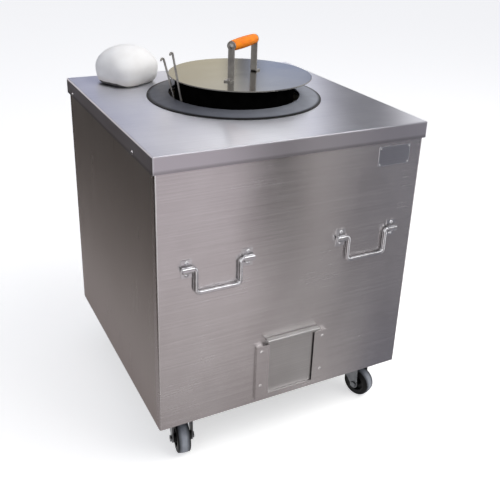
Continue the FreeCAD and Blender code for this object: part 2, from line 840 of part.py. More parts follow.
def king_pin():
    """Headed pin through the plate and the fork."""
    seat = fork_top - fork_sheet - race_gap
    return disc(king_pin_radius, (seat, caster_height)).fuse(
        disc(king_pin_head_radius, (seat - king_pin_head, seat))).removeSplitter()


def along_axle(solid):
    """Place a piece that is made about Z on the wheel's axis."""
    return placed(solid, Vector(0, -caster_trail, wheel_radius), RIGHT)


def caster_axle():
    """Bolt across the fork with its head and nut."""
    half = fork_width / 2
    bolt = disc(axle_radius, (-half, half))
    ends = [shifted(hexagon(axle_flats, axle_head), z=z) for z in (half, -half - axle_head)]
    return along_axle(bolt.fuse(ends).removeSplitter())


def caster_hub():
    """Wheel centre: a bored boss, a thin web and a rim under the tyre."""
    rim = wheel_radius - tyre_thickness
    boss = fork_width / 2 - fork_sheet - hub_side_play
    half = wheel_width / 2
    web = hub_web / 2
    bore = axle_radius + running_fit
    under = rim - hub_rim
    hub = turned((bore, -boss), (hub_boss_radius, -boss), (hub_boss_radius, -web), (under, -web),
                 (under, -half), (rim, -half), (rim, half), (under, half), (under, web),
                 (hub_boss_radius, web), (hub_boss_radius, boss), (bore, boss))
    return along_axle(hub)


def caster_tyre():
    """Rubber tyre with round shoulders and a slightly crowned tread."""
    rim = wheel_radius - tyre_thickness
    half = wheel_width / 2
    r = tyre_shoulder
    flat = half - r
    shoulder = wheel_radius - tyre_crown
    tyre = turned((rim, -half), (shoulder - r, -half),
                  (on_circle((shoulder - r, -flat), r, -45), (shoulder, -flat)),
                  ((wheel_radius, 0.0), (shoulder, flat)),
                  (on_circle((shoulder - r, flat), r, 45), (shoulder - r, half)), (rim, half))
    return along_axle(tyre)


def caster_bolts():
    """Bolts up through the caster plates into the base frame."""
    seat = caster_height - caster_plate_thickness
    shank = disc(caster_bolt_radius, (seat, panel_bottom + angle_thickness))
    head = shifted(hexagon(caster_bolt_flats, caster_bolt_head), z=seat - caster_bolt_head)
    bolt = shank.fuse(head).removeSplitter()
    return Part.makeCompound([bolt.translated(Vector(x, y, 0)) for x, y in caster_bolt_points()])


def caster_pieces():
    """All casters: each stands at its corner, its fork turned to its own heading."""
    pieces = {}
    pins = []
    swivelling = {"fork": caster_fork(), "axle": caster_axle(), "hub": caster_hub(), "tyre": caster_tyre()}
    for corner, (x, y) in corner_points(caster_half).items():
        position = Vector(x, y, 0)
        pieces["caster_plate_" + corner] = caster_plate().translated(position)
        pins.append(king_pin().translated(position))
        for name, solid in swivelling.items():
            turned_piece = solid.copy()
            turned_piece.rotate(Vector(0, 0, 0), UP, caster_headings[corner])
            pieces["caster_" + name + "_" + corner] = turned_piece.translated(position)
    pieces["king_pins"] = Part.makeCompound(pins)
    pieces["caster_bolts"] = caster_bolts()
    return pieces


def all_pieces():
    """Every node's shape by its name."""
    pieces = {
        "top_cap": top_cap(), "front_panel": front_panel(), "back_panel": back_panel(),
        "left_panel": side_panel(-1), "right_panel": side_panel(1), "base_frame": base_frame(),
        "base_plate": base_plate(), "corner_posts": corner_posts(), "top_frame": top_frame(),
        "insulation": insulation(), "clay_pot": clay_pot(), "fire_grate": fire_grate(),
        "ash_tunnel": ash_tunnel(), "mouth_ring": mouth_ring(), "mouth_band": mouth_band(),
        "door_guides": door_guides(), "ash_door": ash_door(), "door_rivets": door_rivets(),
        "handle_rivets": handle_rivets(), "cap_rivets": cap_rivets(),
        "left_bail": bail(-bail_centre), "right_bail": bail(bail_centre),
        "lid_disc": lid_disc(), "lid_leg_near": lid_leg(-1), "lid_leg_far": lid_leg(1),
        "lid_grip": lid_grip(), "lid_grip_rod": lid_grip_rod(), "lid_rivets": lid_rivets(),
        "skewer_back": skewer(0), "skewer_front": skewer(1), "naan_pad": naan_pad(),
    }
    pieces.update({name: saddle(x) for name, x in saddle_places().items()})
    pieces.update(caster_pieces())
    return pieces


os.makedirs("parts", exist_ok=True)
for node, shape in all_pieces().items():
    shape.exportStep("parts/" + node + ".step")
    print(node, len(shape.Solids), shape.isValid(), round(shape.Volume))
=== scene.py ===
"""Dressed scene of a charcoal naan tandoor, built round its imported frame.

Everything is in metres in the part's own frame: X to the right along the front, Y to the back, Z up.
"""
import json
import logging
import math
from dataclasses import dataclass
from enum import Enum
from typing import Any

import bmesh
import bpy
from mathutils import Matrix, Vector, noise


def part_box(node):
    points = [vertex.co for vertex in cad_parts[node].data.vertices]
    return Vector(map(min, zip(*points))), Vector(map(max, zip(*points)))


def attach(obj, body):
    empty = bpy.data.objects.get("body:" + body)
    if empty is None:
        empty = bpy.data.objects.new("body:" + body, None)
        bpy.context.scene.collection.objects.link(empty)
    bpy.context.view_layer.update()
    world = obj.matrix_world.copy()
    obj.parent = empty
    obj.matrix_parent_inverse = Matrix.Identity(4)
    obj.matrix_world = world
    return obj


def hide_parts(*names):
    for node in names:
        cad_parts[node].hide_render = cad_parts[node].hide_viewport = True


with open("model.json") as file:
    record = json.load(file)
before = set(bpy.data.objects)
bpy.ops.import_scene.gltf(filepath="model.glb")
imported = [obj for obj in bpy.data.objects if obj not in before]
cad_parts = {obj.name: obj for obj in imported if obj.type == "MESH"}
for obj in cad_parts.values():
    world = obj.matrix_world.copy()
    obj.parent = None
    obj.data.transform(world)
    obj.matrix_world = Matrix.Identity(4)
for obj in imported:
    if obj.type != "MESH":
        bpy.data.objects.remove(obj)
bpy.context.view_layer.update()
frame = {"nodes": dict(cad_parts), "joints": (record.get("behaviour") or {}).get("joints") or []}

MM = 0.001
LOG = logging.getLogger("tandoor")
CORNERS = ("front_left", "front_right", "back_left", "back_right")

# Most of a noise lies between these values.
NOISE_SIDES = (0.3, 0.7)
# Finer layers that a noise adds to its lumps.
WAVE_LAYERS, LINE_LAYERS, GRAIN_LAYERS, CLOUD_LAYERS = 1.0, 2.0, 3.0, 4.0
# Radians that a wave texture turns over one unit, at a scale of 1.
WAVE_TURN = 20.0

Socket = bpy.types.NodeSocket
Sockets = dict[str | int, Any]
Point = tuple[float, float, float]


def linear(code: str) -> tuple[float, float, float, float]:
    """Turn an sRGB hex colour into a linear one.

    Args:
        code: Six hex digits, such as "9A9590".

    Returns:
        Linear red, green and blue, and an alpha of 1.
    """
    parts = [int(code[i:i + 2], 16) / 255 for i in (0, 2, 4)]
    red, green, blue = [c / 12.92 if c <= 0.04045 else ((c + 0.055) / 1.055) ** 2.4 for c in parts]
    return red, green, blue, 1.0


def add_node(tree: bpy.types.NodeTree, kind: str, inputs: Sockets, **settings: Any) -> bpy.types.Node:
    """Add a node with its settings and links.

    Args:
        tree: Node tree that gets the node.
        kind: Class of the node, without its "ShaderNode" prefix.
        inputs: Input's name or index to a value, or to an output to link from.
        settings: Properties of the node.

    Returns:
        The new node.
    """
    node = tree.nodes.new("ShaderNode" + kind)
    for name, value in settings.items():
        setattr(node, name, value)
    for key, value in inputs.items():
        if isinstance(value, Socket):
            tree.links.new(value, node.inputs[key])
        else:
            node.inputs[key].default_value = value
    return node


class Along(Enum):
    """Direction in which a sheet was brushed; on a folded sheet the lines run on round the fold."""

    X = 0
    Z = 2


@dataclass(frozen=True)
class Finish:
    """A surface by its material and making; each kind says how it dresses a shader."""

    name: str

    def material(self) -> bpy.types.Material:
        """Build the material, or return it if it exists.

        Returns:
            The material.
        """
        found = bpy.data.materials.get(self.name)
        if found:
            return found
        material = bpy.data.materials.new(self.name)
        material.use_nodes = True
        tree = material.node_tree
        tree.nodes.clear()
        shader = add_node(tree, "BsdfPrincipled", {})
        add_node(tree, "OutputMaterial", {"Surface": shader.outputs["BSDF"]})
        self.dress(tree, shader.inputs)
        return material

    def dress(self, tree: bpy.types.NodeTree, shader: Any) -> None:
        """Link patterns to the shader and set its constant sockets.

        Args:
            tree: The material's node tree.
            shader: Inputs of the principled shader.
        """
        raise NotImplementedError

    def lumps(self, tree: bpy.types.NodeTree, spacing_mm: Point, layers: float = LINE_LAYERS) -> Socket:
        """Noise whose lumps have a real size along each axis.

        Args:
            tree: The material's node tree.
            spacing_mm: Size of a lump along X, Y and Z.
            layers: Number of finer layers.

        Returns:
            The noise's value.
        """
        place = add_node(tree, "TexCoord", {}).outputs["Object"]
        scale = tuple(1 / (mm * MM) for mm in spacing_mm)
        place = add_node(tree, "Mapping", {"Vector": place, "Scale": scale}).outputs["Vector"]
        return add_node(tree, "TexNoise", {"Vector": place, "Scale": 1.0, "Detail": layers}).outputs["Fac"]

    def cloud(self, tree: bpy.types.NodeTree, shader: Any, value: Socket, tones: tuple[str, str],
              rough: tuple[float, float] | None = None) -> Socket:
        """Tone and roughness that drift between two limits as a noise goes from its low to its high side.

        Args:
            tree: The material's node tree.
            shader: Inputs of the principled shader, whose roughness is linked if it drifts.
            value: The noise.
            tones: Hex colours at the low and the high side.
            rough: Roughness at the low and the high side, if it drifts.

        Returns:
            The colour.
        """
        limits = {"Value": value, "From Min": NOISE_SIDES[0], "From Max": NOISE_SIDES[1]}
        share = add_node(tree, "MapRange", limits).outputs["Result"]
        if rough:
            drift = add_node(tree, "MapRange", limits | {"To Min": rough[0], "To Max": rough[1]})
            tree.links.new(drift.outputs["Result"], shader["Roughness"])
        ends = {"Factor": share, "A": linear(tones[0]), "B": linear(tones[1])}
        return add_node(tree, "Mix", ends, data_type="RGBA").outputs["Result"]

    def stain(self, tree: bpy.types.NodeTree, colour: Any, value: Socket, limits: tuple[float, float],
              tone: str) -> Socket:
        """Colour under a stain that is full at the first limit of a value and gone at the second.

        Args:
            tree: The material's node tree.
            colour: Clean colour, as an output or as linear values.
            value: What the stain follows, such as a height.
            limits: Where it is full and where it has gone.
            tone: Hex colour of the full stain.

        Returns:
            The stained colour.
        """
        clean = add_node(tree, "MapRange", {"Value": value, "From Min": limits[0], "From Max": limits[1]})
        ends = {"Factor": clean.outputs["Result"], "A": linear(tone), "B": colour}
        return add_node(tree, "Mix", ends, data_type="RGBA").outputs["Result"]

    def relief(self, tree: bpy.types.NodeTree, shader: Any, *layers: tuple[Socket, float]) -> None:
        """Shade the surface as if it were raised by layers with a real depth, each on the one before.

        Args:
            tree: The material's node tree.
            shader: Inputs of the principled shader, whose normal is linked.
            layers: Pattern and depth in millimetres of each layer.
        """
        under: Sockets = {}
        for height, depth_mm in layers:
            inputs = {"Height": height, "Distance": depth_mm * MM, "Strength": 1.0}
            raised = add_node(tree, "Bump", inputs | under)
            under = {"Normal": raised.outputs["Normal"]}
        tree.links.new(under["Normal"], shader["Normal"])


@dataclass(frozen=True)
class BrushedSteel(Finish):
    """Stainless sheet, cold rolled and belt brushed.

    The belt leaves fine straight lines that smear reflections across themselves into soft bands, and a folded
    sheet is never quite flat, so what it mirrors wanders. Faces that stand upright, such as a skirt, get a
    darker tone as painted shade, and a painted shadow line along the hem. The lines are 0.2 mm apart on the
    real sheet and are drawn coarser, because they would not show.
    """

    low: str
    high: str
    rough: tuple[float, float]
    brush: Along
    smear: float = 0.8
    skirt_shade: str | None = None
    hem_shadow: str = "ACA9AE"
    hem_z: float = 0.0
    hem_mm: tuple[float, float] = (3.5, 9.0)
    line_mm: float = 2.2
    length_mm: float = 260.0
    line_depth_mm: float = 0.012
    wave_mm: float = 210.0
    wave_depth_mm: float = 0.9
    cloud_mm: Point = (95.0, 95.0, 140.0)

    def dress(self, tree: bpy.types.NodeTree, shader: Any) -> None:
        """Brush lines, clouds and waves over a polished metal.

        Args:
            tree: The material's node tree.
            shader: Inputs of the principled shader.
        """
        spacing = [self.line_mm] * 3
        spacing[self.brush.value] = self.length_mm
        lines = self.lumps(tree, tuple(spacing))
        clouds = self.lumps(tree, self.cloud_mm, GRAIN_LAYERS)
        both = add_node(tree, "Math", {0: lines, 1: clouds}, operation="ADD").outputs["Value"]
        both = add_node(tree, "Math", {0: both, 1: 0.5}, operation="MULTIPLY").outputs["Value"]
        waves = self.lumps(tree, (self.wave_mm,) * 3, WAVE_LAYERS)
        colour = self.cloud(tree, shader, both, (self.low, self.high), self.rough)
        normal = add_node(tree, "NewGeometry", {}).outputs["Normal"]
        facing = add_node(tree, "SeparateXYZ", {0: normal}).outputs
        # Faces that do not face up take the darker skirt tone as painted shade, and a painted shadow line
        # runs along the hem.
        if self.skirt_shade:
            place = add_node(tree, "TexCoord", {}).outputs["Object"]
            height = add_node(tree, "SeparateXYZ", {0: place}).outputs["Z"]
            start, end = [self.hem_z + mm * MM for mm in self.hem_mm]
            folded = self.stain(tree, linear(self.skirt_shade), height, (start, end), self.hem_shadow)
            ends = {"Factor": facing["Z"], "A": folded, "B": colour}
            colour = add_node(tree, "Mix", ends, data_type="RGBA").outputs["Result"]
        tree.links.new(colour, shader["Base Color"])
        self.relief(tree, shader, (waves, self.wave_depth_mm), (lines, self.line_depth_mm))
        front = add_node(tree, "Math", {0: facing["Y"]}, operation="ABSOLUTE").outputs["Value"]
        other = add_node(tree, "Math", {0: 1.0, 1: front}, operation="SUBTRACT").outputs["Value"]
        across = add_node(tree, "CombineXYZ", {"Y": other, "Z" if self.brush is Along.X else "X": front})
        tree.links.new(across.outputs["Vector"], shader["Tangent"])
        shader["Anisotropic"].default_value = self.smear
        shader["Metallic"].default_value = 1.0


@dataclass(frozen=True)
class PlainSteel(Finish):
    """Drawn or rolled steel, bare or zinc plated: bright, with clouds from handling and heat."""

    low: str
    high: str
    rough: tuple[float, float]
    cloud_mm: float = 14.0
    pit_mm: float = 2.4
    pit_depth_mm: float = 0.02

    def dress(self, tree: bpy.types.NodeTree, shader: Any) -> None:
        """Clouds of tone and sheen, and shallow pits.

        Args:
            tree: The material's node tree.
            shader: Inputs of the principled shader.
        """
        clouds = self.lumps(tree, (self.cloud_mm,) * 3, CLOUD_LAYERS)
        pits = self.lumps(tree, (self.pit_mm,) * 3)
        colour = self.cloud(tree, shader, clouds, (self.low, self.high), self.rough)
        tree.links.new(colour, shader["Base Color"])
        self.relief(tree, shader, (pits, self.pit_depth_mm))
        shader["Metallic"].default_value = 1.0


@dataclass(frozen=True)
class Grainy(Finish):
    """A dull surface with grain: iron under scale, fired clay, rubber, paint or moulded plastic."""

    low: str
    high: str
    rough: tuple[float, float]
    cloud_mm: float
    grain_mm: float
    grain_depth_mm: float
    ior: float = 1.5
    metal: float = 0.0
    gloss: float = 0.5

    def dress(self, tree: bpy.types.NodeTree, shader: Any) -> None:
        """Clouds of tone, with painted light and shade in places for some kinds, and a grain in relief.

        Args:
            tree: The material's node tree.
            shader: Inputs of the principled shader.
        """
        clouds = self.lumps(tree, (self.cloud_mm,) * 3, CLOUD_LAYERS)
        grain = self.lumps(tree, (self.grain_mm,) * 3, GRAIN_LAYERS)
        colour = self.cloud(tree, shader, clouds, (self.low, self.high), self.rough)
        tree.links.new(self.paint_light_and_shade(tree, colour), shader["Base Color"])
        self.relief(tree, shader, (grain, self.grain_depth_mm))
        shader["IOR"].default_value = self.ior
        shader["Metallic"].default_value = self.metal
        shader["Specular IOR Level"].default_value = self.gloss

    def paint_light_and_shade(self, tree: bpy.types.NodeTree, colour: Socket) -> Socket:
        """Leave the colour as it is; kinds with painted light and shade override this."""
        return colour


@dataclass(frozen=True)
class IronWithPaintedShade(Grainy):
    """Rolled iron, dulled blue-grey by heat, with painted shade on its left and a painted shadow line low
    along its edge.
    """

    left_shade: str = "545760"
    left_shade_x: tuple[float, float] = (-0.20, 0.12)
    edge: str = "060607"
    edge_z: float = 0.0
    edge_mm: float = 0.6

    def paint_light_and_shade(self, tree: bpy.types.NodeTree, colour: Socket) -> Socket:
        """Painted shade that thins out to the right, and a painted shadow line at the edge.

        Args:
            tree: The material's node tree.
            colour: Colour without the painted shade.

        Returns:
            The colour with the painted shade.
        """
        place = add_node(tree, "TexCoord", {}).outputs["Object"]
        place = add_node(tree, "SeparateXYZ", {0: place}).outputs
        # Painted shade over the left of the ring, thinning out to the right.
        colour = self.stain(tree, colour, place["X"], self.left_shade_x, self.left_shade)
        # Painted shadow line along the ring's foot.
        return self.stain(tree, colour, place["Z"], (self.edge_z - self.edge_mm * MM, self.edge_z), self.edge)


@dataclass(frozen=True)
class TreadRubber(Grainy):
    """Rubber tyre, moulded black: its tread is grey, with a painted highlight round the middle that darkens
    to the shoulders.
    """

    side: str = "030304"
    side_turn: tuple[float, float] = (0.55, 0.25)
    shoulder_shade: str = "2C2E32"
    shoulder_mm: tuple[float, float] = (13.0, 4.0)
    middle: Point = (0.0, 0.0, 0.0)
    axle: Point = (1.0, 0.0, 0.0)

    def paint_light_and_shade(self, tree: bpy.types.NodeTree, colour: Socket) -> Socket:
        """Painted shade to the shoulders, leaving a painted highlight mid-tread, and black where it faces
        along the axle.

        Args:
            tree: The material's node tree.
            colour: Colour before the painted light and shade.

        Returns:
            The colour with the painted highlight and the black sides.
        """
        place = add_node(tree, "TexCoord", {}).outputs
        off = add_node(tree, "VectorMath", {0: place["Object"], 1: self.middle}, operation="SUBTRACT")
        # Darker towards the shoulders: painted shade that leaves a painted highlight round the middle of the
        # tread.
        shoulder_shade = tuple(mm * MM for mm in self.shoulder_mm)
        for way, limits, tone in ((off.outputs["Vector"], shoulder_shade, self.shoulder_shade),
                                  (place["Normal"], self.side_turn, self.side)):
            along = add_node(tree, "VectorMath", {0: way, 1: self.axle}, operation="DOT_PRODUCT")
            along = add_node(tree, "Math", {0: along.outputs["Value"]}, operation="ABSOLUTE")
            colour = self.stain(tree, colour, along.outputs["Value"], limits, tone)
        return colour


@dataclass(frozen=True)
class WovenCotton(Finish):
    """Plain-woven cotton: white and matt, with a soft sheen at its edges and threads in two directions.

    Threads are 0.6 mm apart on the real cloth and are drawn at thread_mm, because they would not show.
    """

    low: str
    high: str
    foot: str
    foot_z: float
    foot_mm: float = 26.0
    foot_shadow: str = "0B0A0A"
    foot_shadow_x: tuple[float, float] = (0.0, 1.0)
    foot_shadow_mm: tuple[float, float] = (9.0, 2.5)
    foot_shadow_fade_mm: float = 2.0
    stain_mm: float = 38.0
    thread_mm: float = 1.8
    thread_wander: float = 0.6
    thread_depth_mm: float = 0.12
    rough: float = 0.92
    fuzz: float = 0.25

    def dress(self, tree: bpy.types.NodeTree, shader: Any) -> None:
        """Crossed threads in relief, faint stains of use, a warm grey low down, and a painted shadow along
        the foot.

        Args:
            tree: The material's node tree.
            shader: Inputs of the principled shader.
        """
        place = add_node(tree, "TexCoord", {}).outputs["Object"]
        waves = []
        for axis in ("X", "Y"):
            inputs = {"Vector": place, "Scale": math.tau / WAVE_TURN / (self.thread_mm * MM),
                      "Distortion": self.thread_wander}
            waves.append(add_node(tree, "TexWave", inputs, bands_direction=axis).outputs["Fac"])
        weave = add_node(tree, "Math", {0: waves[0], 1: waves[1]}, operation="MAXIMUM").outputs["Value"]
        stains = self.lumps(tree, (self.stain_mm,) * 3, CLOUD_LAYERS)
        axes = add_node(tree, "SeparateXYZ", {0: place}).outputs
        # Painted shadow along the foot, tallest on the left, where the cover overhangs it.
        left, right = [self.foot_z + mm * MM for mm in self.foot_shadow_mm]
        inputs = {"Value": axes["X"], "From Min": self.foot_shadow_x[0], "From Max": self.foot_shadow_x[1], "To Min": left,
                  "To Max": right}
        shadow_top = add_node(tree, "MapRange", inputs).outputs["Result"]
        above = add_node(tree, "Math", {0: axes["Z"], 1: shadow_top}, operation="SUBTRACT").outputs["Value"]
        colour = self.cloud(tree, shader, stains, (self.low, self.high))
        foot_span = (self.foot_z, self.foot_z + self.foot_mm * MM)
        colour = self.stain(tree, colour, axes["Z"], foot_span, self.foot)
        colour = self.stain(tree, colour, above, (0.0, self.foot_shadow_fade_mm * MM), self.foot_shadow)
        tree.links.new(colour, shader["Base Color"])
        self.relief(tree, shader, (weave, self.thread_depth_mm))
        shader["Roughness"].default_value = self.rough
        shader["Sheen Weight"].default_value = self.fuzz


# Brushed stainless cap: bright satin, its reflections drawn out from front to back; its skirt is drawn darker
# as painted shade, with a painted shadow line at the hem.
CAP_SHEET = BrushedSteel("stainless_sheet_cap", "DEDFE6", "EEEFF4", (0.28, 0.34), Along.X, 1.0,
                         skirt_shade="CDCAD0", hem_z=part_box("top_cap")[0][2], wave_depth_mm=0.4)
# Brushed stainless front and back: warm grey in tall soft bands.
FRONT_SHEET = BrushedSteel("stainless_sheet_front", "CCC8C8", "DEDBDB", (0.20, 0.28), Along.X, 0.96)
# Brushed stainless sides, lines upright: smoother, with one long fall from light to dark.
SIDE_SHEET = BrushedSteel("stainless_sheet_side", "C8C4C1", "D4D0CD", (0.26, 0.36), Along.Z,
                          line_depth_mm=0.003, wave_depth_mm=0.3)
# Folded stainless door: a little greyer and duller than the front that it slides on.
DOOR_SHEET = BrushedSteel("stainless_sheet_door", "BDBCBB", "D2D1D0", (0.26, 0.36), Along.X,
                          wave_depth_mm=0.25)
# Rolled stainless label plate: a dull, even grey.
PLATE_SHEET = BrushedSteel("stainless_plate", "A6A7AE", "B8B9C0", (0.28, 0.36), Along.X, wave_depth_mm=0.05)
# Rolled steel lid, half polished by use: mirrors the room in patches.
LID_SHEET = BrushedSteel("rolled_steel_lid", "787671", "878580", (0.13, 0.19), Along.X, 0.4,
                         wave_depth_mm=0.7)
# Bright zinc plating: pale, with small sharp highlights.
ZINC = PlainSteel("zinc_plated_steel", "CDCDD0", "E0E0E2", (0.12, 0.22))
# Zinc-plated pressings, drawn dark grey as painted shade under the casing, with a soft sheen.
SHADED_CASTER_ZINC = PlainSteel("zinc_plated_pressing", "626366", "7A7B7D", (0.26, 0.42))
# Hot-rolled flat bar: mid grey, almost matt.
FLAT_BAR = PlainSteel("rolled_flat_bar", "A09D99", "B8B5B1", (0.34, 0.50))
# Drawn steel rod: grey, with one line of light along it.
SKEWER_ROD = PlainSteel("drawn_steel_rod", "98958F", "B8B5B0", (0.30, 0.45))
# Rolled iron ring, heated daily: blue-grey, with painted shade on the left and a painted shadow line at its
# foot.
RING_IRON = IronWithPaintedShade("heat_dulled_ring", "8A8D96", "9A9EA8", (0.45, 0.6), 26.0, 3.0, 0.06,
                       metal=0.3, edge_z=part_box("top_cap")[1][2] + 3.8 * MM)
# Rolled iron band caked with soot: gives almost no light back.
BAND_IRON = Grainy("soot_black_band", "040404", "0A0A0A", (0.85, 1.0), 20.0, 3.0, 0.15, gloss=0.0)
# Sand-cast iron: dark and rough.
GRATE_IRON = Grainy("cast_iron_grate", "2A2928", "3A3836", (0.65, 0.85), 20.0, 2.5, 0.25)
# Hand-built clay, fired in use: matt brown with a coarse grain.
CLAY = Grainy("fired_clay", "6B4A38", "8E6850", (0.85, 0.95), 30.0, 3.5, 0.5)
# Mineral wool, packed: matt and fibrous.
WOOL = Grainy("mineral_wool", "4A463D", "6A6454", (0.9, 1.0), 18.0, 4.0, 1.5)
# Angle steel, painted black: even and half matt.
FRAME_PAINT = Grainy("painted_angle_steel", "262728", "343536", (0.45, 0.6), 40.0, 3.0, 0.04)
# Polypropylene, injection moulded: strong orange with a broad, weak highlight.
ORANGE_GRIP = Grainy("moulded_orange_grip", "F07A02", "F88E08", (0.42, 0.52), 18.0, 1.6, 0.03, ior=1.42,
                     gloss=0.25)
# Rubber, moulded: black sides, and a grey tread with a painted highlight round its middle.
TYRES = {
    joint["child"]: TreadRubber("moulded_rubber_" + joint["child"], "8C9098", "A0A4AC", (0.5, 0.65), 16.0,
                                1.4, 0.05, gloss=0.2, middle=tuple(joint["pos_m"]), axle=tuple(joint["axis"]))
    for joint in frame["joints"] if joint["name"].startswith("wheel_spin")
}
# Nylon, injection moulded: black with a faint sheen.
HUB_PLASTIC = Grainy("moulded_hub_plastic", "080809", "0F0F10", (0.45, 0.55), 12.0, 1.2, 0.03, ior=1.46,
                     gloss=0.25)
PAD_LOW, PAD_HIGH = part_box("naan_pad")
PAD_MIDDLE_X = (PAD_LOW[0] + PAD_HIGH[0]) / 2
# Cotton cover, plain woven: white and matt, a warm grey low down where it turns under, and a painted shadow
# along its foot, deepest on the left.
COTTON = WovenCotton("woven_cotton", "F5F4F3", "FDFDFD", "E4DED6", PAD_LOW[2],
                     foot_shadow_x=(PAD_MIDDLE_X - 42 * MM, PAD_MIDDLE_X - 20 * MM))


def dress_node(name: str, finish: Finish) -> None:
    """Give a node of the frame its finish.

    Args:
        name: Name of the node.
        finish: Surface that it gets.
    """
    for slot in frame["nodes"][name].material_slots:
        slot.material = finish.material()


def mesh_piece(name: str, mesh: bmesh.types.BMesh, finish: Finish, smooth: bool = True) -> bpy.types.Object:
    """Make a piece of the object from a finished bmesh.

    Args:
        name: Name of the piece.
        mesh: Its faces, in the part's frame; it is freed.
        finish: Surface that it gets.
        smooth: Whether its faces are shaded smooth.

    Returns:
        The new object.
    """
    bmesh.ops.recalc_face_normals(mesh, faces=mesh.faces)
    data = bpy.data.meshes.new(name)
    mesh.to_mesh(data)
    mesh.free()
    for face in data.polygons:
        face.use_smooth = smooth
    data.materials.append(finish.material())
    piece = bpy.data.objects.new(name, data)
    bpy.context.collection.objects.link(piece)
    return piece


def loft(mesh: bmesh.types.BMesh, rings: list[list[Vector]]) -> None:
    """Skin closed rings of equal length, with a fan of triangles over each end.

    Args:
        mesh: Mesh that gets the faces.
        rings: Points of each ring in order.
    """
    rows = [[mesh.verts.new(point) for point in ring] for ring in rings]
    count = len(rows[0])
    for lower, upper in zip(rows, rows[1:]):
        for i in range(count):
            j = (i + 1) % count
            mesh.faces.new((lower[i], lower[j], upper[j], upper[i]))
    for row in (rows[0], rows[-1]):
        middle = mesh.verts.new(sum((v.co for v in row), Vector()) / count)
        for i in range(count):
            mesh.faces.new((row[i], row[(i + 1) % count], middle))


class SubAssembly:
    """Pieces that are built and dressed together."""

    finishes: dict[str, Finish] = {}

    def build(self) -> list[bpy.types.Object]:
        """Make the pieces that the frame lacks."""
        return []

    def dress(self) -> int:
        """Give the frame's nodes their finishes.

        Returns:
            How many nodes were dressed.
        """
        for name, finish in self.finishes.items():
            dress_node(name, finish)
        return len(self.finishes)


